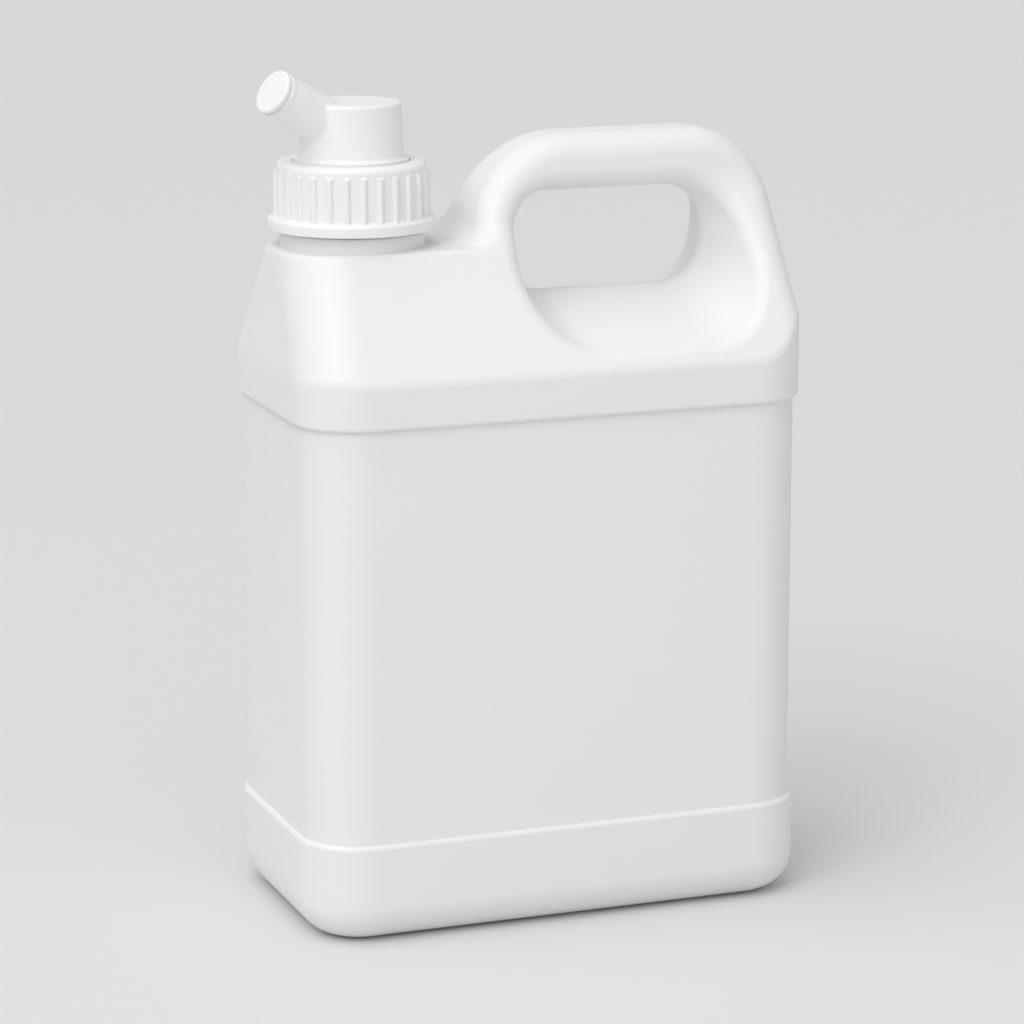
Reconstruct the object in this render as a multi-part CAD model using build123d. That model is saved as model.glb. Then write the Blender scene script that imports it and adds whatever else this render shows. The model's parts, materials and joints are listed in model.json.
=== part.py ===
"""Five-litre oil jug: a blow-moulded bottle with a handle, and a screw closure with a pouring spout.

The origin is the centre of the base. +X points to the handle, -Y is the front and +Z is up.
Sizes are in millimetres.
"""
import os
from math import atan, atan2, cos, degrees, radians, sin, sqrt, tan

from build123d import *

# Bottle walls
body_width = 200.0
body_depth = 113.6
corner_radius = 24.0
wall = 1.3

# Heights of the bottle's storeys, from the base up
base_height = 38.5
panel_height = 156.1
belt_height = 16.8
shoulder_height = 43.6
handle_height = 38.7

# Base and recessed panel
base_radius = 15.0
stand_width = 12.0
push_up = 2.5
push_up_corner_radius = 14.0
panel_recess = 2.0
ledge_radius = 1.7

# Shoulder and the platform round the neck
left_lean = 5.2
right_lean = 2.4
left_corner_radius = 22.0
platform_margin = 2.0
platform_edge_radius = 3.0

# Handle
arch_setback = 116.8
arch_radius = 40.0
arch_foot_radius = 12.0
arch_foot_sink = 0.6
column_radius = 31.5
grip_top_half_depth = 14.35
grip_lean = 6.0
grip_blend_radius = 27.0
handle_edge_radius = 10.5

# Opening under the handle, at the middle of the depth, and how its sides flare to the front and the back
arch_thickness = 16.2
opening_drop = 20.5
opening_corner_radius = 16.0
valley_margin = 5.0
column_width = 25.5
grip_thickness = 22.7
flare_left = 5.5
flare_right = 15.0
flare_high = 14.0
flare_corner = 14.0
opening_rim_radius = 7.0
opening_crest_radius = 14.0

# Neck
neck_setback = 34.5
neck_radius = 23.5
neck_wall = 2.5
neck_ring_radius = 27.0
neck_ring_height = 5.6
neck_ring_edge = 0.8
neck_rim_edge = 0.5

# Collar
thread_depth = 1.9
collar_clearance = 0.4
collar_gap = 0.9
collar_height = 25.0
collar_radius = 27.9
collar_rim_radius = 31.4
collar_rim_height = 3.8
collar_rim_slope = 1.4
collar_rim_edge = 0.6
collar_edge_radius = 2.4
rib_count = 28
rib_depth = 1.3
rib_width = 2.4
rib_bevel = 0.7
rib_top_gap = 3.2
rib_start_angle = 3.8
deck_thickness = 3.2

# Gasket
gasket_thickness = 2.0
gasket_overhang = 1.2
gasket_clearance = 0.3

# Spout turret
slide_clearance = 0.35
flange_thickness = 2.6
plug_height = 5.0
plug_wall = 1.8
hub_radius = 21.6
hub_rise = 0.9
turret_radius = 19.5
turret_top_radius = 18.7
turret_height = 21.6
turret_wall = 1.7
turret_edge_radius = 1.2
turret_foot_radius = 1.8

# Nozzle, aimed a little to the front, and its end cap
nozzle_angle = 30.3
nozzle_aim = 16.7
nozzle_rise = 7.3
nozzle_length = 35.5
nozzle_root_radius = 10.1
nozzle_tip_radius = 8.4
nozzle_bore_radius = 5.8
nozzle_blend_radius = 2.0
spigot_radius = 7.2
spigot_length = 3.4
cap_clearance = 0.3
cap_radius = 8.6
cap_length = 5.0
cap_edge_radius = 0.9
cap_rear_radius = 0.3
cap_groove_depth = 0.8
cap_groove_width = 1.0
cap_front_width = 1.8

# Places, heights and radii that follow from the sizes above
left_end = -body_width / 2
right_end = body_width / 2
neck_x = left_end + neck_setback
arch_x = left_end + arch_setback
belt_z = base_height + panel_height
shoulder_z = belt_z + belt_height
platform_z = shoulder_z + shoulder_height
handle_top_z = platform_z + handle_height
platform_half_depth = neck_ring_radius + platform_margin
shoulder_lean = degrees(atan((body_depth / 2 - platform_half_depth) / shoulder_height))
valley_half_depth = body_depth / 2 - valley_margin * tan(radians(shoulder_lean))
valley_drop = shoulder_height - opening_drop - valley_margin
flare_low = degrees(atan(valley_drop / valley_half_depth))
collar_z = platform_z + neck_ring_height + collar_gap
deck_z = collar_z + collar_height
flange_z = deck_z - deck_thickness - flange_thickness
gasket_z = flange_z - gasket_thickness
neck_bore_radius = neck_radius - neck_wall
collar_bore_radius = neck_radius + thread_depth + collar_clearance
deck_hole_radius = hub_radius + slide_clearance
nozzle_z = deck_z + nozzle_rise

# Cutting volumes reach past the bottle by this much
reach = body_width

standing = (Align.CENTER, Align.CENTER, Align.MIN)


def is_skew(edge):
    """Whether an edge leans away from all three axes."""
    tolerance = 0.001
    return min(abs(part) for part in edge.tangent_at(0.5)) > tolerance


def is_smooth(edge, form):
    """Whether the two faces at an edge meet without a crease."""
    crease_cosine = 0.999
    point = edge @ 0.5
    normals = [face.normal_at(point) for face in form.faces() if edge in face.edges()]
    return len(normals) == 2 and normals[0].dot(normals[1]) > crease_cosine


def lies_on(edge, faces):
    """Whether an edge lies on one of some faces."""
    tolerance = 0.001
    points = [edge @ share for share in (0.2, 0.5, 0.8)]
    return any(max(face.distance_to(point) for point in points) < tolerance for face in faces)


def level_edges(form, z):
    """Edges of a form that lie at a height."""
    tolerance = 0.001
    return form.edges().filter_by(lambda edge: abs(edge.center().Z - z) < tolerance)


def left_x(z, inset):
    """X of the left end of the shoulder at a height."""
    lean = radians(left_lean)
    return left_end + (z - shoulder_z) * tan(lean) + inset / cos(lean)


def right_x(z, inset):
    """X of the right end of the shoulder at a height."""
    lean = radians(right_lean)
    return right_end - (z - shoulder_z) * tan(lean) - inset / cos(lean)


def shoulder_y(z, inset):
    """Half depth of the leaning shoulder faces at a height."""
    lean = radians(shoulder_lean)
    return body_depth / 2 - (z - shoulder_z) * tan(lean) - inset / cos(lean)


def grip_y(z, inset):
    """Half depth of the steep grip faces at a height."""
    lean = radians(grip_lean)
    return grip_top_half_depth + (handle_top_z - z) * tan(lean) - inset / cos(lean)


def depth_form(inset):
    """Cross section of shoulder and grip, run along the jug's width."""
    close_rate = tan(radians(shoulder_lean)) - tan(radians(grip_lean))
    bend_z = (shoulder_y(0, inset) - grip_y(0, inset)) / close_rate
    top_z = handle_top_z + handle_edge_radius
    half = [(shoulder_y(0, inset), 0), (shoulder_y(bend_z, inset), bend_z), (grip_y(top_z, inset), top_z)]
    outline = make_face(Polyline(*half, *[(-y, z) for y, z in reversed(half)], close=True).edges())
    bends = outline.vertices().group_by(Axis.Y)[1]
    return extrude(Plane.YZ * fillet(bends, grip_blend_radius + inset), reach, both=True)


def neck_end(inset):
    """Shoulder end that carries the neck, up to the platform."""
    top_z = platform_z - inset
    corners = [(arch_x, top_z), (arch_x, 0), (left_x(0, inset), 0), (left_x(top_z, inset), top_z)]
    side = make_face(Polyline(*corners, close=True).edges())
    form = extrude(Plane.XZ * side, reach, both=True) & depth_form(inset)
    form = fillet(form.edges().filter_by(is_skew), left_corner_radius - inset)
    end_edge = form.edges().filter_by(Axis.Y).group_by(Axis.Z)[-1].sort_by(Axis.X)[0]
    return fillet(end_edge, platform_edge_radius - inset)


def handle_end(inset):
    """Shoulder end that carries the handle, up to the top of the grip."""
    top_z = handle_top_z - inset
    centre_z = handle_top_z - arch_radius
    foot_z = platform_z - arch_foot_sink + arch_foot_radius
    span = arch_radius + arch_foot_radius
    rise = atan2(foot_z - centre_z, sqrt(span ** 2 - (foot_z - centre_z) ** 2))
    foot_x = arch_x - span * cos(rise)
    turn = 90 - degrees(rise)
    foot = CenterArc((foot_x, foot_z), arch_foot_radius + inset, -90, turn)
    arch = CenterArc((arch_x, centre_z), arch_radius - inset, 90, turn)
    low = (foot_x, foot_z - arch_foot_radius - inset)
    rest = Polyline((arch_x, top_z), (right_x(top_z, inset), top_z), (right_x(0, inset), 0), (foot_x, 0), low)
    side = make_face(foot.edges() + arch.edges() + rest.edges())
    column_corner = side.vertices().group_by(Axis.Y)[-1].sort_by(Axis.X)[-1]
    side = fillet(column_corner, column_radius - inset)
    form = extrude(Plane.XZ * side, reach, both=True) & depth_form(inset)
    top_edges = form.edges().filter_by(Axis.X).group_by(Axis.Z)[-1]
    return fillet(top_edges, handle_edge_radius - inset)


def opening_outline(inset, depth):
    """Outline of the opening under the handle, at a distance from the middle of the depth."""
    def spread(flare):
        return depth * tan(radians(flare)) + inset / cos(radians(flare))

    left = arch_x - arch_radius + arch_thickness - spread(flare_left)
    right = right_end - column_width + spread(flare_right)
    low = platform_z - opening_drop - spread(flare_low)
    high = handle_top_z - grip_thickness + spread(flare_high)
    outline = RectangleRounded(right - left, high - low, opening_corner_radius + spread(flare_corner))
    return Pos((left + right) / 2, (low + high) / 2) * outline


def opening_half(inset, side):
    """Half of the opening, from the middle of the depth to past the front or the back."""
    depth = body_depth / 2 + corner_radius
    near = Plane.XZ * opening_outline(inset, 0)
    far = Plane.XZ.offset(side * depth) * opening_outline(inset, depth)
    return loft([near, far], ruled=True)


def opening_form(inset):
    """Flared opening under the handle as a solid, with its waist rounded."""
    form = opening_half(inset, 1) + opening_half(inset, -1)
    tolerance = 0.001
    waist = form.edges().filter_by(lambda edge: edge.bounding_box().size.Y + abs(edge.center().Y) < tolerance)
    return fillet(waist, opening_crest_radius - inset)


def with_opening(form, inset):
    """Cut the opening under the handle and round its rims."""
    opening = opening_form(inset)
    flares = opening.faces().sort_by(Axis.Y)[1:-1]
    form = form - opening
    rims = form.edges().filter_by(lambda edge: lies_on(edge, flares))
    sharp = rims.filter_by(lambda edge: not is_smooth(edge, form))
    return fillet(sharp, opening_rim_radius - inset)


def lower_form(inset):
    """Upright bottle walls with the rounded base, the recessed panel and the belt."""
    def block(narrowing, radius, low, high):
        size = (body_width - 2 * narrowing, body_depth - 2 * narrowing)
        return extrude(Plane.XY.offset(low) * RectangleRounded(*size, radius), high - low)

    low, high = base_height - inset, belt_z + inset
    panel_inset = panel_recess + inset
    base = block(inset, corner_radius - inset, inset, low)
    base = fillet(level_edges(base, inset), base_radius - inset)
    panel = block(panel_inset, corner_radius - panel_inset, low, high)
    belt = block(inset, corner_radius - inset, high, handle_top_z + handle_edge_radius)
    if inset == 0:
        base = fillet(level_edges(base, low), ledge_radius)
        belt = fillet(level_edges(belt, high), ledge_radius)
    form = base + panel + belt
    dent_inset = base_radius + stand_width - inset
    return form - block(dent_inset, push_up_corner_radius + inset, 0, push_up + inset)


def bottle_form(inset):
    """Whole bottle below the neck, with every surface moved inwards by an inset."""
    form = (neck_end(inset) + handle_end(inset)) & lower_form(inset)
    return with_opening(form, inset)


def make_jug_body():
    """Hollow bottle with its handle and neck."""
    neck = Cylinder(neck_radius, gasket_z - platform_z + wall, align=standing)
    neck = fillet(neck.edges().group_by(Axis.Z)[-1], neck_rim_edge)
    ring = Cylinder(neck_ring_radius, neck_ring_height + wall, align=standing)
    ring = fillet(ring.edges().group_by(Axis.Z)[-1], neck_ring_edge)
    outside = bottle_form(0) + Pos(neck_x, 0, platform_z - wall) * (neck + ring)
    bore = Pos(neck_x, 0, shoulder_z) * Cylinder(neck_bore_radius, reach, align=standing)
    return outside - bottle_form(wall) - bore


def make_collar():
    """Screw ring with a plain lower rim, grip ribs and a top deck that holds the spout down."""
    rim_top = collar_z + collar_rim_height
    deck_low = deck_z - deck_thickness
    profile = Polyline(
        (deck_hole_radius, deck_z), (collar_radius, deck_z),
        (collar_radius, rim_top + collar_rim_slope), (collar_rim_radius, rim_top),
        (collar_rim_radius, collar_z), (collar_bore_radius, collar_z),
        (collar_bore_radius, deck_low), (deck_hole_radius, deck_low), close=True,
    )
    shell = revolve(Plane.XZ * make_face(profile.edges()), Axis.Z)
    top_edge = level_edges(shell, deck_z).sort_by(SortBy.LENGTH)[-1]
    shell = fillet(top_edge, collar_edge_radius)
    rim_edges = [level_edges(shell, z).sort_by(SortBy.LENGTH)[-1] for z in (collar_z, rim_top)]
    shell = fillet(rim_edges, collar_rim_edge)

    rib_length = deck_z - rib_top_gap - rim_top
    inside = (collar_bore_radius + collar_radius) / 2
    outside = collar_radius + rib_depth
    rib_side = Polyline(
        (inside, 0), (outside, 0), (outside, rib_length - rib_depth),
        (collar_radius, rib_length), (inside, rib_length), close=True,
    )
    rib = extrude(Plane.XZ * make_face(rib_side.edges()), rib_width / 2, both=True)
    rib = Pos(0, 0, rim_top) * chamfer(rib.edges().filter_by(Axis.Z).group_by(Axis.X)[-1], rib_bevel)
    ribs = [Rot(0, 0, rib_start_angle + 360 * n / rib_count) * rib for n in range(rib_count)]
    return Pos(neck_x, 0, 0) * (shell + ribs)


def make_gasket():
    """Flat sealing ring on the neck's rim."""
    ring = Circle(neck_radius + gasket_overhang) - Circle(neck_bore_radius + gasket_clearance)
    return Pos(neck_x, 0, gasket_z) * extrude(ring, gasket_thickness)


def nozzle_frame():
    """Plane whose normal runs out along the nozzle from the turret's axis."""
    angle, aim = radians(nozzle_angle), radians(nozzle_aim)
    out = (-cos(angle) * cos(aim), -cos(angle) * sin(aim), sin(angle))
    return Plane(origin=(0, 0, nozzle_z), x_dir=(-sin(aim), cos(aim), 0), z_dir=out)


def make_spout():
    """Turret with its clamped flange, its plug in the neck and the angled nozzle."""
    flange_radius = collar_bore_radius - collar_clearance
    flange_top = flange_z + flange_thickness
    plug_radius = neck_bore_radius - slide_clearance
    plug_z = flange_z - plug_height
    hub_z = deck_z + hub_rise
    top_z = deck_z + turret_height
    outer = Polyline(
        (0, plug_z), (plug_radius, plug_z), (plug_radius, flange_z), (flange_radius, flange_z),
        (flange_radius, flange_top), (hub_radius, flange_top), (hub_radius, hub_z),
        (turret_radius, hub_z), (turret_top_radius, top_z), (0, top_z), close=True,
    )
    turret = revolve(Plane.XZ * make_face(outer.edges()), Axis.Z)
    foot = level_edges(turret, hub_z).filter_by(GeomType.CIRCLE).sort_by(SortBy.LENGTH)[0]
    turret = fillet(foot, turret_foot_radius)
    turret = fillet(turret.edges().group_by(Axis.Z)[-1], turret_edge_radius)

    frame = nozzle_frame()
    nozzle = frame * Cone(nozzle_root_radius, nozzle_tip_radius, nozzle_length, align=standing)
    body = turret + nozzle
    joint = body.edges().filter_by(lambda edge: lies_on(edge, turret.faces()))
    joint = joint.filter_by(lambda edge: lies_on(edge, nozzle.faces()))
    body = fillet(joint, nozzle_blend_radius)
    spigot = Cylinder(spigot_radius, spigot_length, align=standing)
    body = body + frame * Pos(0, 0, nozzle_length) * spigot

    inner = Polyline(
        (0, plug_z), (plug_radius - plug_wall, plug_z), (plug_radius - plug_wall, flange_z),
        (turret_radius - turret_wall, hub_z), (turret_top_radius - turret_wall, top_z - turret_wall),
        (0, top_z - turret_wall), close=True,
    )
    chamber = revolve(Plane.XZ * make_face(inner.edges()), Axis.Z)
    bore = frame * Cylinder(nozzle_bore_radius, nozzle_length + spigot_length, align=standing)
    return Pos(neck_x, 0, 0) * (body - chamber - bore)


def make_nozzle_cap():
    """Pull-off cap on the nozzle's end, with a groove behind its front."""
    groove_high = cap_length - cap_front_width
    groove_low = groove_high - cap_groove_width
    groove_radius = cap_radius - cap_groove_depth
    inside_radius = spigot_radius + cap_clearance
    inside_depth = spigot_length + cap_clearance
    profile = Polyline(
        (inside_radius, 0), (cap_radius, 0), (cap_radius, groove_low), (groove_radius, groove_low),
        (groove_radius, groove_high), (cap_radius, groove_high), (cap_radius, cap_length),
        (0, cap_length), (0, inside_depth), (inside_radius, inside_depth), close=True,
    )
    cap = revolve(Plane.XZ * make_face(profile.edges()), Axis.Z)
    rear_edges = [level_edges(cap, z).sort_by(SortBy.LENGTH)[-1] for z in (0, groove_low, groove_high)]
    cap = fillet(rear_edges, cap_rear_radius)
    cap = fillet(cap.edges().group_by(Axis.Z)[-1], cap_edge_radius)
    return Pos(neck_x, 0, 0) * (nozzle_frame() * Pos(0, 0, nozzle_length) * cap)


def main():
    """Write one file for each piece."""
    os.makedirs("parts", exist_ok=True)
    pieces = {
        "jug_body": make_jug_body(),
        "collar": make_collar(),
        "gasket": make_gasket(),
        "spout": make_spout(),
        "nozzle_cap": make_nozzle_cap(),
    }
    for name, piece in pieces.items():
        export_step(piece, f"parts/{name}.step")


main()
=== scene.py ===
"""Five-litre oil jug in a plain studio: bottle, seal, screw collar, spout and nozzle cap."""
import json
import logging
import math
from collections.abc import Callable, Iterator
from contextlib import contextmanager
from dataclasses import dataclass
from enum import Enum
from typing import Any

import bmesh
import bpy
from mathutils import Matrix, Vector

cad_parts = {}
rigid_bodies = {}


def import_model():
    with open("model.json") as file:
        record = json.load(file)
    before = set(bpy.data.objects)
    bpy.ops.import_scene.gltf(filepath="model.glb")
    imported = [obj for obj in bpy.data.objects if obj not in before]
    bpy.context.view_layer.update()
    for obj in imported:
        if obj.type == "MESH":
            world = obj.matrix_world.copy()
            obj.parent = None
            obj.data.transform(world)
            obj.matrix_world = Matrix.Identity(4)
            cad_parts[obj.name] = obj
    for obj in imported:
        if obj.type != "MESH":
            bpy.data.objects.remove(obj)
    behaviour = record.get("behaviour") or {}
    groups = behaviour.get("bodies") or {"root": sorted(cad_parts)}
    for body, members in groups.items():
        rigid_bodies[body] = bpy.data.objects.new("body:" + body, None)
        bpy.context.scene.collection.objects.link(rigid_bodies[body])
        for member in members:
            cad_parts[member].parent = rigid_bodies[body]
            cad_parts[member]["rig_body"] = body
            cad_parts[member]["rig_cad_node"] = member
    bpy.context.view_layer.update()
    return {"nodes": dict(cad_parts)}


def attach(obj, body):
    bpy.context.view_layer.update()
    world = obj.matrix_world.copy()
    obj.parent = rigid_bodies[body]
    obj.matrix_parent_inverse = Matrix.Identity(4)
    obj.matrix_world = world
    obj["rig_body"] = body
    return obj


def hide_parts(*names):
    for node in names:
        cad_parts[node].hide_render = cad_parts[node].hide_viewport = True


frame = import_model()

log = logging.getLogger("oil_jug")

Colour = tuple[float, float, float, float]
Place = tuple[float, float, float]
PointTest = Callable[[bmesh.types.BMVert], bool]
Sockets = dict[str | int, Any]

MM = 0.001
FULL_TURN = 360
RIGHT_ANGLE = 90.0
ORIGIN: Place = (0.0, 0.0, 0.0)
NECK_X = -65.5 * MM


def grey(level: float) -> Colour:
    """Neutral colour of one level."""
    return (level, level, level, 1.0)


class Body(Enum):
    """Bodies that the pieces move with."""

    JUG = "jug"
    SEAL = "seal"
    COLLAR = "collar"
    SPOUT = "spout"
    NOZZLE_CAP = "nozzle_cap"


class Slot(Enum):
    """Material slots of the record."""

    BOTTLE = "bottle"
    CLOSURE = "closure"
    SEAL = "seal"


class ThreadSide(Enum):
    """Which way a thread's crest stands from its wall."""

    OUTWARD = 1
    INWARD = -1


class LampKind(Enum):
    """Kinds of studio lamp."""

    FAR = "SUN"
    BOX = "AREA"


class Bench:
    """Hand work on one piece at a time."""

    merge_distance = 0.01 * MM
    flat_face_weight = 90
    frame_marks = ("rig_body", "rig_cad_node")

    @staticmethod
    def take(piece: bpy.types.Object) -> None:
        """Select one piece alone and make it the active one.

        Args:
            piece: The piece to work on.
        """
        bpy.ops.object.select_all(action="DESELECT")
        piece.select_set(True)
        bpy.context.view_layer.objects.active = piece

    @staticmethod
    @contextmanager
    def editing(piece: bpy.types.Object, selected: bool = False) -> Iterator[None]:
        """Open a piece in edit mode, and close it afterwards.

        Args:
            piece: The piece to work on.
            selected: Whether all of it is selected at the start, or nothing.

        Returns:
            A context in which mesh operators act on the piece.
        """
        Bench.take(piece)
        bpy.ops.object.mode_set(mode="EDIT")
        bpy.ops.mesh.select_mode(type="VERT")
        bpy.ops.mesh.select_all(action="SELECT" if selected else "DESELECT")
        yield
        bpy.ops.object.mode_set(mode="OBJECT")

    @staticmethod
    def pick(piece: bpy.types.Object, test: PointTest) -> int:
        """Select the points of a piece that pass a test, in edit mode.

        Args:
            piece: The piece that is open in edit mode.
            test: Says of a point whether it is wanted.

        Returns:
            How many points were selected.
        """
        mesh = bmesh.from_edit_mesh(piece.data)
        for point in mesh.verts:
            point.select_set(test(point))
        mesh.select_flush_mode()
        bmesh.update_edit_mesh(piece.data)
        return sum(point.select for point in mesh.verts)

    @staticmethod
    def copy_solid(node: str, name: str) -> bpy.types.Object:
        """Copy a solid as a piece of its own and merge its loose triangles.

        Args:
            node: The solid to copy.
            name: The new piece's name.

        Returns:
            The new piece, in the solid's place.
        """
        Bench.take(frame["nodes"][node])
        bpy.ops.object.duplicate()
        piece = bpy.context.object
        piece.name = piece.data.name = name
        piece.parent = None
        for mark in Bench.frame_marks:
            del piece[mark]
        piece.data.materials.clear()
        bpy.ops.mesh.customdata_custom_splitnormals_clear()
        with Bench.editing(piece, selected=True):
            bpy.ops.mesh.remove_doubles(threshold=Bench.merge_distance)
        return piece

    @staticmethod
    def apply(piece: bpy.types.Object, kind: str, **settings: Any) -> None:
        """Add a modifier to a piece, set it and apply it.

        Args:
            piece: The piece to change.
            kind: The modifier's type.
            settings: The modifier's values by name.
        """
        Bench.take(piece)
        modifier = piece.modifiers.new(kind.lower(), kind)
        for name, value in settings.items():
            setattr(modifier, name, value)
        bpy.ops.object.modifier_apply(modifier=modifier.name)

    @staticmethod
    def smooth(piece: bpy.types.Object, angle: float) -> None:
        """Shade a piece smooth over its soft edges, and let its large faces stay flat.

        Args:
            piece: The piece to shade.
            angle: Edges up to this angle in degrees look rounded.
        """
        Bench.take(piece)
        bpy.ops.object.shade_smooth_by_angle(angle=math.radians(angle))
        Bench.apply(piece, "WEIGHTED_NORMAL", keep_sharp=True, weight=Bench.flat_face_weight)

    @staticmethod
    def fit(
        piece: bpy.types.Object, body: Body, slot: Slot, material: bpy.types.Material,
    ) -> bpy.types.Object:
        """Dress a finished piece and let it ride on its body.

        Args:
            piece: The finished piece.
            body: The body that it moves with.
            slot: Not used.
            material: Its material.

        Returns:
            The same piece.
        """
        piece.data.materials.append(material)
        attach(piece, body.value)
        faces = len(piece.data.polygons)
        log.info("%s rides on %s with %d faces", piece.name, body.value, faces)
        return piece


class NodeBoard:
    """Shader nodes of one material or world."""

    noise_low = 0.3
    noise_high = 0.7

    def __init__(self, tree: bpy.types.NodeTree) -> None:
        """Start on an empty tree."""
        tree.nodes.clear()
        self.tree = tree

    @classmethod
    def of_material(cls, name: str) -> tuple[bpy.types.Material, "NodeBoard"]:
        """Start a new material.

        Args:
            name: The material's name.

        Returns:
            The material and the board of its nodes.
        """
        material = bpy.data.materials.new(name)
        material.use_nodes = True
        return material, cls(material.node_tree)

    def add(self, kind: str, sockets: Sockets | None = None, **settings: Any) -> bpy.types.Node:
        """Add a node and fill its sockets.

        Args:
            kind: The node's type.
            sockets: Values or other nodes' outputs for its inputs, by name or number.
            settings: The node's own properties.

        Returns:
            The new node.
        """
        node = self.tree.nodes.new(kind)
        for name, value in settings.items():
            setattr(node, name, value)
        for key, value in (sockets or {}).items():
            if isinstance(value, bpy.types.NodeSocket):
                self.tree.links.new(value, node.inputs[key])
            else:
                node.inputs[key].default_value = value
        return node

    def place(self) -> bpy.types.NodeSocket:
        """Place on the piece, in the piece's own coordinates."""
        return self.add("ShaderNodeTexCoord").outputs["Object"]

    def noise(
        self, place: bpy.types.NodeSocket, waves: float, detail: float,
    ) -> bpy.types.NodeSocket:
        """Noise of a number of waves a metre, as a value from 0 to 1."""
        sockets: Sockets = {"Vector": place, "Scale": waves, "Detail": detail}
        return self.add("ShaderNodeTexNoise", sockets).outputs["Fac"]

    def between(
        self, noise: bpy.types.NodeSocket, low: float, high: float,
    ) -> bpy.types.NodeSocket:
        """Spread the middle of a noise over a range.

        Args:
            noise: The noise as a value from 0 to 1.
            low: The range's lower end.
            high: The range's upper end.

        Returns:
            The value in that range.
        """
        sockets: Sockets = {
            "Value": noise,
            "From Min": self.noise_low,
            "From Max": self.noise_high,
            "To Min": low,
            "To Max": high,
        }
        return self.add("ShaderNodeMapRange", sockets).outputs["Result"]

    def blend(
        self,
        share: bpy.types.NodeSocket,
        first: Colour,
        second: Colour | bpy.types.NodeSocket,
    ) -> bpy.types.NodeSocket:
        """Blend two colours by a share of the second."""
        sockets: Sockets = {0: share, 6: first, 7: second}
        return self.add("ShaderNodeMix", sockets, data_type="RGBA").outputs[2]

    def bump(
        self,
        height: bpy.types.NodeSocket,
        depth: float,
        strength: float,
        under: bpy.types.NodeSocket | None = None,
    ) -> bpy.types.NodeSocket:
        """Turn a height into a bumped normal.

        Args:
            height: The height as a value from 0 to 1.
            depth: Its depth in metres.
            strength: How much of it shows.
            under: A bumped normal to add it to.

        Returns:
            The bumped normal.
        """
        sockets: Sockets = {"Height": height, "Distance": depth, "Strength": strength}
        if under is not None:
            sockets["Normal"] = under
        return self.add("ShaderNodeBump", sockets).outputs["Normal"]

    def surface(self, sockets: Sockets) -> None:
        """Give the surface a principled shader with these sockets."""
        shader = self.add("ShaderNodeBsdfPrincipled", sockets)
        self.add("ShaderNodeOutputMaterial", {"Surface": shader.outputs["BSDF"]})


@dataclass(frozen=True)
class SatinPolyethylene:
    """White polyethylene with a satin skin, faint draw lines and a fine grain."""

    name: str
    colour: Colour
    shade: Colour
    roughness_low: float
    roughness_high: float
    grain_strength: float
    line_strength: float
    ior: float = 1.53
    tone_waves: float = 7.0
    tone_detail: float = 2.0
    grain_waves: float = 1500.0
    grain_detail: float = 2.0
    grain_depth: float = 0.04 * MM
    line_waves: float = 260.0
    line_detail: float = 1.0
    line_stretch: float = 0.03
    line_depth: float = 0.05 * MM
    sheen_waves: float = 65.0
    sheen_detail: float = 3.0

    def make(self) -> bpy.types.Material:
        """Make the material on the piece's own coordinates.

        Returns:
            The new material.
        """
        material, board = NodeBoard.of_material(self.name)
        place = board.place()
        upright: Sockets = {"Vector": place, "Scale": (1.0, 1.0, self.line_stretch)}
        drawn = board.add("ShaderNodeMapping", upright).outputs["Vector"]
        tone = board.noise(place, self.tone_waves, self.tone_detail)
        grain = board.noise(place, self.grain_waves, self.grain_detail)
        lines = board.noise(drawn, self.line_waves, self.line_detail)
        sheen = board.noise(drawn, self.sheen_waves, self.sheen_detail)
        ripple = board.bump(lines, self.line_depth, self.line_strength)
        skin = board.bump(grain, self.grain_depth, self.grain_strength, ripple)
        board.surface({
            "Base Color": board.blend(board.between(tone, 0.0, 1.0), self.colour, self.shade),
            "Roughness": board.between(sheen, self.roughness_low, self.roughness_high),
            "Normal": skin,
            "IOR": self.ior,
        })
        return material


@dataclass(frozen=True)
class CellularFoam:
    """Grey closed-cell foam of the sealing ring."""

    name: str
    colour: Colour
    shade: Colour
    roughness: float
    cell_waves: float
    cell_depth: float
    cell_strength: float

    def make(self) -> bpy.types.Material:
        """Make the material on the piece's own coordinates.

        Returns:
            The new material.
        """
        material, board = NodeBoard.of_material(self.name)
        sockets: Sockets = {"Vector": board.place(), "Scale": self.cell_waves}
        cells = board.add("ShaderNodeTexVoronoi", sockets).outputs["Distance"]
        board.surface({
            "Base Color": board.blend(cells, self.colour, self.shade),
            "Roughness": self.roughness,
            "Normal": board.bump(cells, self.cell_depth, self.cell_strength),
        })
        return material


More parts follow.
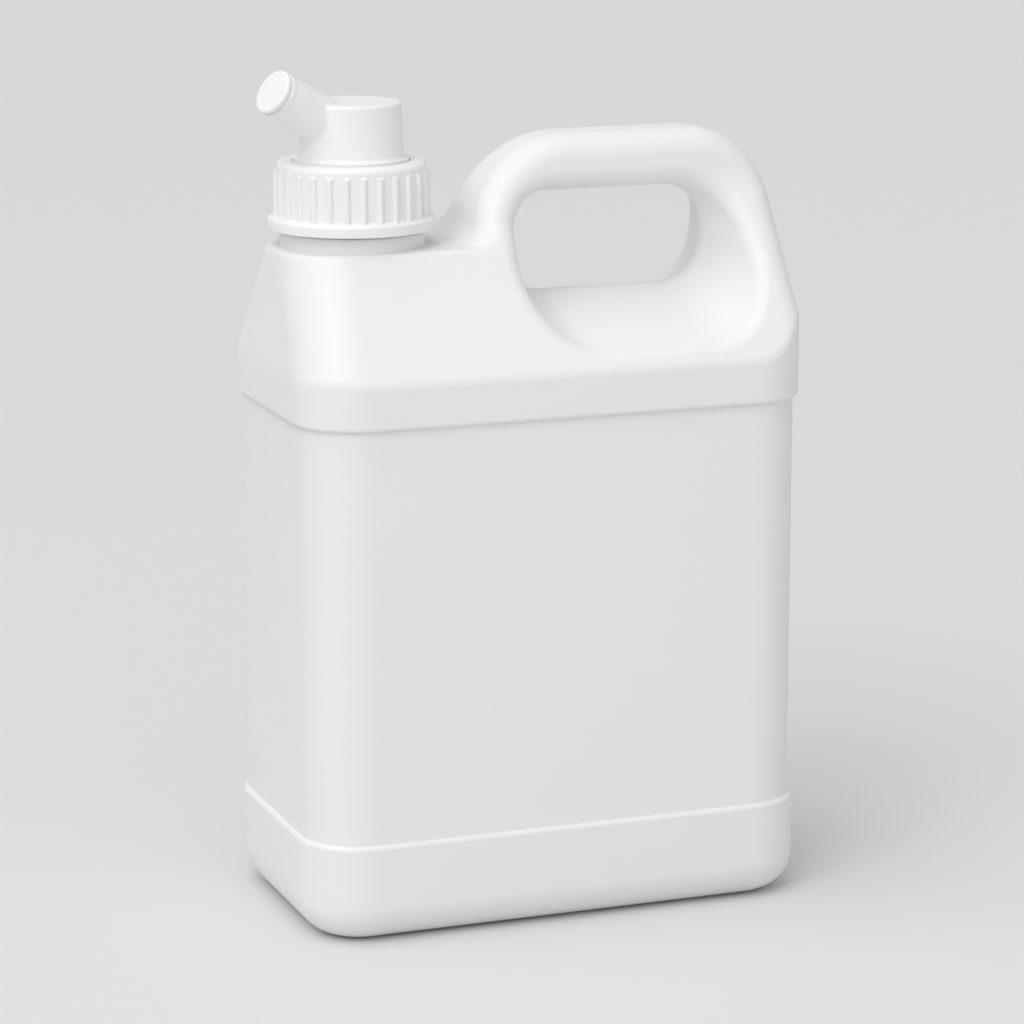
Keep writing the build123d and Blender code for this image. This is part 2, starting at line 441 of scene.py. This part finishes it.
@dataclass
class ScrewThread:
    """One helical thread with a sloping profile and ends that run out into its wall."""

    name: str
    side: ThreadSide
    wall_radius: float
    start_angle: float
    turn: float
    centre_x: float = NECK_X
    start_z: float = 264.6 * MM
    pitch: float = 6.0 * MM
    depth: float = 1.6 * MM
    root_width: float = 2.6 * MM
    crest_width: float = 1.1 * MM
    sink: float = 0.25 * MM
    steps_a_turn: int = 72
    run_out_steps: int = 9
    smooth_angle: float = 40.0

    @property
    def root_radius(self) -> float:
        """Radius at which the profile starts, sunk in the wall."""
        return self.wall_radius - self.side.value * self.sink

    @property
    def crest_radius(self) -> float:
        """Radius of the crest."""
        return self.wall_radius + self.side.value * self.depth

    @property
    def profile(self) -> tuple[tuple[float, float], ...]:
        """Corners of the profile as radius and height, in the order of a plane's points."""
        low, high = -self.root_width / 2, self.root_width / 2
        crest_low, crest_high = -self.crest_width / 2, self.crest_width / 2
        return (
            (self.root_radius, low), (self.crest_radius, crest_low),
            (self.root_radius, high), (self.crest_radius, crest_high),
        )

    @property
    def steps(self) -> int:
        """Number of steps that the thread is wound in."""
        return round(self.steps_a_turn * self.turn / FULL_TURN)

    def build(self) -> bpy.types.Object:
        """Model the thread's profile, wind it and run its ends out.

        Returns:
            The thread as a closed piece.
        """
        bpy.ops.object.select_all(action="DESELECT")
        bpy.ops.mesh.primitive_plane_add(size=1.0)
        piece = bpy.context.object
        piece.name = piece.data.name = self.name
        for point, (radius, height) in zip(piece.data.vertices, self.profile):
            point.co = (radius, 0.0, height)
        with Bench.editing(piece, selected=True):
            bpy.ops.mesh.delete(type="ONLY_FACE")
        Bench.apply(
            piece, "SCREW", axis="Z", angle=math.radians(self.turn), steps=self.steps,
            render_steps=self.steps, screw_offset=self.pitch * self.turn / FULL_TURN,
            use_smooth_shade=False,
        )
        self.close_ends(piece)
        self.run_out(piece)
        piece.rotation_euler.z = math.radians(self.start_angle)
        piece.location = (self.centre_x, 0.0, self.start_z)
        Bench.take(piece)
        bpy.ops.object.transform_apply(location=True, rotation=True, scale=True)
        Bench.smooth(piece, self.smooth_angle)
        return piece

    def close_ends(self, piece: bpy.types.Object) -> None:
        """Fill the two open ends and turn every face outwards.

        Args:
            piece: The wound thread.
        """
        with Bench.editing(piece, selected=True):
            bpy.ops.mesh.remove_doubles(threshold=Bench.merge_distance)
            bpy.ops.mesh.select_all(action="DESELECT")
            bpy.ops.mesh.select_non_manifold()
            bpy.ops.mesh.fill_holes(sides=len(self.profile))
            bpy.ops.mesh.select_all(action="SELECT")
            bpy.ops.mesh.normals_make_consistent(inside=False)

    def crest_at(self, step: int) -> PointTest:
        """Make the test that finds the crest's points at one step.

        Args:
            step: The step's number from the thread's start.

        Returns:
            The test of a point.
        """
        angle = math.radians(FULL_TURN * step / self.steps_a_turn)
        angle_reach = math.pi / self.steps_a_turn / 2
        height = step * (self.pitch / self.steps_a_turn)
        middle = (self.root_radius + self.crest_radius) / 2

        def on_crest(point: bmesh.types.BMVert) -> bool:
            """Whether a point is on the crest at this step."""
            radius = math.hypot(point.co.x, point.co.y)
            turned = math.atan2(point.co.y, point.co.x) - angle
            turned = (turned + math.pi) % math.tau - math.pi
            near = abs(turned) < angle_reach and abs(point.co.z - height) < self.pitch / 2
            return near and (radius - middle) * self.side.value > 0

        return on_crest

    def run_out(self, piece: bpy.types.Object) -> None:
        """Draw the crest back into the wall over the last steps of both ends.

        Args:
            piece: The wound thread, about the world's axis.
        """
        sunk = self.root_radius / self.crest_radius
        for end_step in range(self.run_out_steps):
            share = math.sin(math.pi / 2 * end_step / self.run_out_steps)
            size = sunk + (1.0 - sunk) * share
            for step in (end_step, self.steps - end_step):
                with Bench.editing(piece):
                    Bench.pick(piece, self.crest_at(step))
                    bpy.ops.transform.resize(value=(size, size, 1.0), center_override=ORIGIN)
        with Bench.editing(piece, selected=True):
            bpy.ops.mesh.dissolve_degenerate(threshold=Bench.merge_distance)


@dataclass
class Bottle:
    """Blow-moulded bottle with its handle, parting line, base weld and neck thread."""

    finish: SatinPolyethylene
    half_width: float = 100.0 * MM
    half_depth: float = 56.8 * MM
    corner_radius: float = 24.0 * MM
    wall_tolerance: float = 0.02 * MM
    neck_x: float = NECK_X
    neck_radius: float = 23.5 * MM
    neck_ring_radius: float = 27.0 * MM
    thread_start: float = 200.0
    thread_turn: float = 600.0
    foot_low: float = 210.8 * MM
    foot_high: float = 226.0 * MM
    foot_width: float = 2.0 * MM
    foot_segments: int = 4
    foot_reach: float = 98.0 * MM
    foot_least_crease: float = 15.0
    foot_neck_crease: float = 1.0
    ridge_limit: float = 99.7 * MM
    ridge_low: float = 16.0 * MM
    ridge_half_width: float = 0.35 * MM
    ridge_height: float = 0.14 * MM
    end_reach: float = 12.0 * MM
    end_facing: float = 0.5
    top_low: float = 250.0 * MM
    top_facing: float = 0.2
    grip_left: float = -12.0 * MM
    grip_right: float = 80.0 * MM
    grip_high: float = 280.0 * MM
    weld_z: float = 2.5 * MM
    weld_half_length: float = 62.0 * MM
    weld_taper: float = 7.0 * MM
    weld_height: float = 0.7 * MM
    flat_angle: float = 0.1
    smooth_angle: float = 30.5

    def build(self) -> list[bpy.types.Object]:
        """Model and dress the bottle's pieces.

        Returns:
            The bottle and its thread.
        """
        material = self.finish.make()
        shell = Bench.copy_solid("jug_body", "bottle_shell")
        self.soften_foot(shell)
        self.raise_parting_line(shell)
        self.raise_base_weld(shell)
        Bench.smooth(shell, self.smooth_angle)
        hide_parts("jug_body")
        thread = ScrewThread(
            name="neck_thread", side=ThreadSide.OUTWARD, wall_radius=self.neck_radius,
            start_angle=self.thread_start, turn=self.thread_turn,
        ).build()
        return [Bench.fit(piece, Body.JUG, Slot.BOTTLE, material) for piece in (shell, thread)]

    def is_on_wall(self, place: Vector) -> bool:
        """Whether a place lies on the upright outside walls.

        Args:
            place: A place on the bottle.

        Returns:
            True on the flat walls and their rounded corners.
        """
        across = max(abs(place.x) - self.half_width + self.corner_radius, 0.0)
        deep = max(abs(place.y) - self.half_depth + self.corner_radius, 0.0)
        return abs(math.hypot(across, deep) - self.corner_radius) < self.wall_tolerance

    def is_on_foot(self, edge: bmesh.types.BMEdge) -> bool:
        """Whether an edge is part of the outside crease between the belt and the shoulder.

        Args:
            edge: An edge of the bottle.

        Returns:
            True along the front, the back and the neck's end, and round the handle's end
            while the crease is clear.
        """
        places = [point.co for point in edge.verts]
        in_band = all(self.foot_low < place.z < self.foot_high for place in places)
        in_reach = all(place.x < self.foot_reach for place in places)
        if not (in_band and in_reach and all(self.is_on_wall(place) for place in places)):
            return False
        by_neck = all(place.x < 0 for place in places)
        least = self.foot_neck_crease if by_neck else self.foot_least_crease
        return edge.calc_face_angle() > math.radians(least)

    def soften_foot(self, shell: bpy.types.Object) -> None:
        """Merge the flat faces and round the crease at the foot of the shoulder.

        Args:
            shell: The bottle.
        """
        with Bench.editing(shell, selected=True):
            bpy.ops.mesh.dissolve_limited(angle_limit=math.radians(self.flat_angle))
        with Bench.editing(shell):
            bpy.ops.mesh.select_mode(type="EDGE")
            mesh = bmesh.from_edit_mesh(shell.data)
            for edge in mesh.edges:
                edge.select_set(self.is_on_foot(edge))
            bmesh.update_edit_mesh(shell.data)
            count = sum(edge.select for edge in mesh.edges)
            bpy.ops.mesh.bevel(
                offset=self.foot_width, segments=self.foot_segments, affect="EDGES",
                clamp_overlap=False,
            )
        log.info("shoulder foot rounded along %d edges", count)

    def is_on_parting_line(self, point: bmesh.types.BMVert) -> bool:
        """Whether a point lies where the two halves of the mould meet, on the outside.

        Args:
            point: A point of the bottle.

        Returns:
            True on the ends, the platform and the top of the handle.
        """
        place, normal = point.co, point.normal
        if abs(place.y) > Bench.merge_distance or abs(place.x) > self.ridge_limit:
            return False
        at_end = abs(place.x) > self.ridge_limit - self.end_reach and place.z > self.ridge_low
        if at_end and normal.x * place.x > 0 and abs(normal.x) > self.end_facing:
            return True
        by_neck = abs(place.x - self.neck_x) < self.neck_ring_radius + self.ridge_half_width
        in_grip = self.grip_left < place.x < self.grip_right and place.z < self.grip_high
        on_top = place.z > self.top_low and normal.z > self.top_facing
        return on_top and not by_neck and not in_grip

    def raise_parting_line(self, shell: bpy.types.Object) -> None:
        """Cut the bottle along the mould's parting plane and raise a fine ridge there.

        Args:
            shell: The bottle.
        """
        for side in (-1, 0, 1):
            with Bench.editing(shell, selected=True):
                bpy.ops.mesh.bisect(
                    plane_co=(0.0, side * self.ridge_half_width, 0.0), plane_no=(0.0, 1.0, 0.0),
                )
        with Bench.editing(shell):
            count = Bench.pick(shell, self.is_on_parting_line)
            bpy.ops.transform.shrink_fatten(value=self.ridge_height)
        log.info("parting line raised over %d points", count)

    def is_in_dent(self, point: bmesh.types.BMVert) -> bool:
        """Whether a point lies on the flat face of the base's dent."""
        return abs(point.co.z - self.weld_z) < Bench.merge_distance and point.normal.z < 0

    def is_on_weld(self, point: bmesh.types.BMVert) -> bool:
        """Whether a point lies on the crest of the base's weld."""
        inside = abs(point.co.x) < self.weld_half_length - self.weld_taper / 2
        return self.is_in_dent(point) and abs(point.co.y) < Bench.merge_distance and inside

    def raise_base_weld(self, shell: bpy.types.Object) -> None:
        """Raise the pinched weld across the dent of the base.

        Args:
            shell: The bottle.
        """
        for end in (self.weld_half_length, self.weld_half_length - self.weld_taper):
            for side in (-1, 1):
                with Bench.editing(shell):
                    Bench.pick(shell, self.is_in_dent)
                    bpy.ops.mesh.bisect(plane_co=(side * end, 0.0, 0.0), plane_no=(1.0, 0.0, 0.0))
        with Bench.editing(shell):
            count = Bench.pick(shell, self.is_on_weld)
            bpy.ops.transform.translate(value=(0.0, 0.0, -self.weld_height))
        log.info("base weld raised over %d points", count)


@dataclass
class Closure:
    """Screw collar, pouring spout and nozzle cap in one finish."""

    finish: SatinPolyethylene
    collar_bore_radius: float = 25.8 * MM
    thread_start: float = 20.0
    thread_turn: float = 640.0
    rib_smooth_angle: float = 50.0
    smooth_angle: float = 35.0

    def build(self) -> list[bpy.types.Object]:
        """Model and dress the closure's pieces.

        Returns:
            The collar, its thread, the spout and the nozzle cap.
        """
        material = self.finish.make()
        collar = self.shell("collar", self.rib_smooth_angle)
        spout = self.shell("spout", self.smooth_angle)
        cap = self.shell("nozzle_cap", self.smooth_angle)
        thread = ScrewThread(
            name="collar_thread", side=ThreadSide.INWARD, wall_radius=self.collar_bore_radius,
            start_angle=self.thread_start, turn=self.thread_turn,
        ).build()
        return [
            Bench.fit(collar, Body.COLLAR, Slot.CLOSURE, material),
            Bench.fit(thread, Body.COLLAR, Slot.CLOSURE, material),
            Bench.fit(spout, Body.SPOUT, Slot.CLOSURE, material),
            Bench.fit(cap, Body.NOZZLE_CAP, Slot.CLOSURE, material),
        ]

    def shell(self, node: str, angle: float) -> bpy.types.Object:
        """Copy one of the closure's solids and soften its edges.

        Args:
            node: The solid to copy.
            angle: Edges up to this angle in degrees look rounded.

        Returns:
            The piece that stands for the solid.
        """
        piece = Bench.copy_solid(node, f"{node}_shell")
        Bench.smooth(piece, angle)
        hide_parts(node)
        return piece


@dataclass
class Gasket:
    """Foam ring on the rim of the neck."""

    finish: CellularFoam
    flat_angle: float = 1.0
    edge_width: float = 0.25 * MM
    edge_segments: int = 3
    edge_angle: float = 40.0
    smooth_angle: float = 35.0

    def build(self) -> list[bpy.types.Object]:
        """Model and dress the ring.

        Returns:
            The ring alone.
        """
        ring = Bench.copy_solid("gasket", "gasket_ring")
        with Bench.editing(ring, selected=True):
            bpy.ops.mesh.dissolve_limited(angle_limit=math.radians(self.flat_angle))
        Bench.apply(
            ring, "BEVEL", width=self.edge_width, segments=self.edge_segments,
            limit_method="ANGLE", angle_limit=math.radians(self.edge_angle),
        )
        Bench.smooth(ring, self.smooth_angle)
        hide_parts("gasket")
        return [Bench.fit(ring, Body.SEAL, Slot.SEAL, self.finish.make())]


def hang_lamp(name: str, kind: LampKind, place: Place, aim: Place) -> bpy.types.Light:
    """Hang a lamp and turn it to what it lights.

    Args:
        name: The lamp's name.
        kind: Its kind.
        place: Where it hangs.
        aim: The place that it shines at.

    Returns:
        The lamp's data, for its size and power.
    """
    bpy.ops.object.light_add(type=kind.value, location=place)
    lamp = bpy.context.object
    lamp.name = lamp.data.name = name
    away = Vector(place) - Vector(aim)
    lamp.rotation_euler = away.to_track_quat("Z", "Y").to_euler()
    return lamp.data


@dataclass(frozen=True)
class SoftLight:
    """Wide far light from one direction."""

    name: str
    source: Place
    strength: float
    spread: float

    def build(self) -> None:
        """Hang the light."""
        lamp = hang_lamp(self.name, LampKind.FAR, self.source, ORIGIN)
        lamp.energy = self.strength * math.pi
        lamp.angle = math.radians(self.spread)


@dataclass(frozen=True)
class SoftBox:
    """Square studio light near the jug."""

    name: str
    place: Place
    aim: Place
    size: float
    power: float

    def build(self) -> None:
        """Hang the light."""
        lamp = hang_lamp(self.name, LampKind.BOX, self.place, self.aim)
        lamp.size = self.size
        lamp.energy = self.power


@dataclass
class Studio:
    """Pale floor, soft light and the camera."""

    lights: tuple[SoftLight | SoftBox, ...]
    sky_level: float = 0.53
    floor_size: float = 40.0
    floor_drop: float = 0.1 * MM
    # floor_near and floor_far are painted light: the floor is painted paler away from the jug,
    # where less light falls
    floor_near: Colour = grey(0.725)
    floor_far: Colour = grey(0.74)
    floor_bounce: Colour = grey(0.72)
    floor_roughness: float = 0.9
    floor_specular: float = 0.1
    near_reach: float = 0.12
    far_reach: float = 0.8
    camera_place: Place = (-0.51617, -1.36900, 0.47737)
    camera_tilt: float = 12.701
    camera_heading: float = -20.585
    camera_lens: float = 137.525
    camera_sensor: float = 36.0

    def build(self) -> None:
        """Set up the whole studio."""
        self.lay_floor()
        self.light_sky()
        for light in self.lights:
            light.build()
        self.stand_camera()
        bpy.context.scene.view_settings.view_transform = "Standard"

    def lay_floor(self) -> None:
        """Lay the floor that the jug stands on, with painted light: a little paler away from the
        jug, where less light falls.
        """
        bpy.ops.object.select_all(action="DESELECT")
        bpy.ops.mesh.primitive_plane_add(
            size=self.floor_size, location=(0.0, 0.0, -self.floor_drop),
        )
        floor = bpy.context.object
        floor.name = floor.data.name = "studio_floor"
        material, board = NodeBoard.of_material("studio_floor_paint")
        # painted light: the floor's colour shifts from floor_near to floor_far with the distance
        # from the jug
        length = board.add("ShaderNodeVectorMath", {0: board.place()}, operation="LENGTH")
        reach: Sockets = {
            "Value": length.outputs["Value"],
            "From Min": self.near_reach,
            "From Max": self.far_reach,
        }
        share = board.add("ShaderNodeMapRange", reach, interpolation_type="SMOOTHSTEP")
        paint = board.blend(share.outputs["Result"], self.floor_near, self.floor_far)
        board.surface({
            "Base Color": self.seen(board, paint),
            "Roughness": self.floor_roughness,
            "Specular IOR Level": self.floor_specular,
        })
        floor.data.materials.append(material)

    def seen(self, board: NodeBoard, colour: bpy.types.NodeSocket) -> bpy.types.NodeSocket:
        """Show one colour to the camera and in reflections, and throw light back by another.

        Args:
            board: The floor's nodes.
            colour: The colour that is seen.

        Returns:
            The colour for the floor's shader.
        """
        path = board.add("ShaderNodeLightPath").outputs
        share = path["Is Camera Ray"]
        for ray in ("Is Glossy Ray", "Is Transmission Ray"):
            either: Sockets = {0: path[ray], 1: share}
            share = board.add("ShaderNodeMath", either, operation="MAXIMUM").outputs[0]
        return board.blend(share, self.floor_bounce, colour)

    def light_sky(self) -> None:
        """Fill the room with even light."""
        world = bpy.data.worlds.new("studio_sky")
        world.use_nodes = True
        bpy.context.scene.world = world
        board = NodeBoard(world.node_tree)
        level: Sockets = {"Color": grey(self.sky_level), "Strength": 1.0}
        sky = board.add("ShaderNodeBackground", level)
        board.add("ShaderNodeOutputWorld", {"Surface": sky.outputs["Background"]})

    def stand_camera(self) -> None:
        """Stand the camera where the photograph was taken from."""
        tilt = math.radians(RIGHT_ANGLE - self.camera_tilt)
        rotation = (tilt, 0.0, math.radians(self.camera_heading))
        bpy.ops.object.camera_add(location=self.camera_place, rotation=rotation)
        camera = bpy.context.object
        camera.name = camera.data.name = "studio_camera"
        camera.data.sensor_fit = "HORIZONTAL"
        camera.data.sensor_width = self.camera_sensor
        camera.data.lens = self.camera_lens
        bpy.context.scene.camera = camera


def main() -> None:
    """Build the jug's sub-assemblies in order, then the studio round them."""
    logging.basicConfig(level=logging.INFO, format="%(message)s")
    bottle_finish = SatinPolyethylene(
        name="bottle_polyethylene",
        colour=(0.84, 0.84, 0.835, 1.0), shade=(0.825, 0.825, 0.82, 1.0),
        roughness_low=0.46, roughness_high=0.56, grain_strength=0.25, line_strength=0.12,
    )
    closure_finish = SatinPolyethylene(
        name="closure_polyethylene",
        colour=(0.885, 0.885, 0.88, 1.0), shade=(0.87, 0.87, 0.865, 1.0),
        roughness_low=0.44, roughness_high=0.52, grain_strength=0.15, line_strength=0.03,
    )
    foam = CellularFoam(
        name="seal_foam", colour=(0.5, 0.5, 0.49, 1.0), shade=(0.6, 0.6, 0.59, 1.0),
        roughness=0.85, cell_waves=2500.0, cell_depth=0.1 * MM, cell_strength=0.6,
    )
    pieces: list[bpy.types.Object] = []
    for assembly in (Bottle(bottle_finish), Gasket(foam), Closure(closure_finish)):
        pieces += assembly.build()
    log.info("%d pieces stand for the jug", len(pieces))
    Studio(lights=(
        SoftLight(name="key_light", source=(-0.60, -0.44, 0.66), strength=0.11, spread=32.0),
        SoftBox(
            name="box_light", place=(-0.75, -0.85, 1.0), aim=(0.0, 0.0, 0.25), size=0.8, power=3.3,
        ),
        SoftLight(name="front_light", source=(0.10, -0.86, 0.50), strength=0.07, spread=70.0),
        SoftLight(name="top_light", source=(-0.30, -0.08, 0.95), strength=0.30, spread=55.0),
    )).build()


if __name__ == "__main__":
    main()
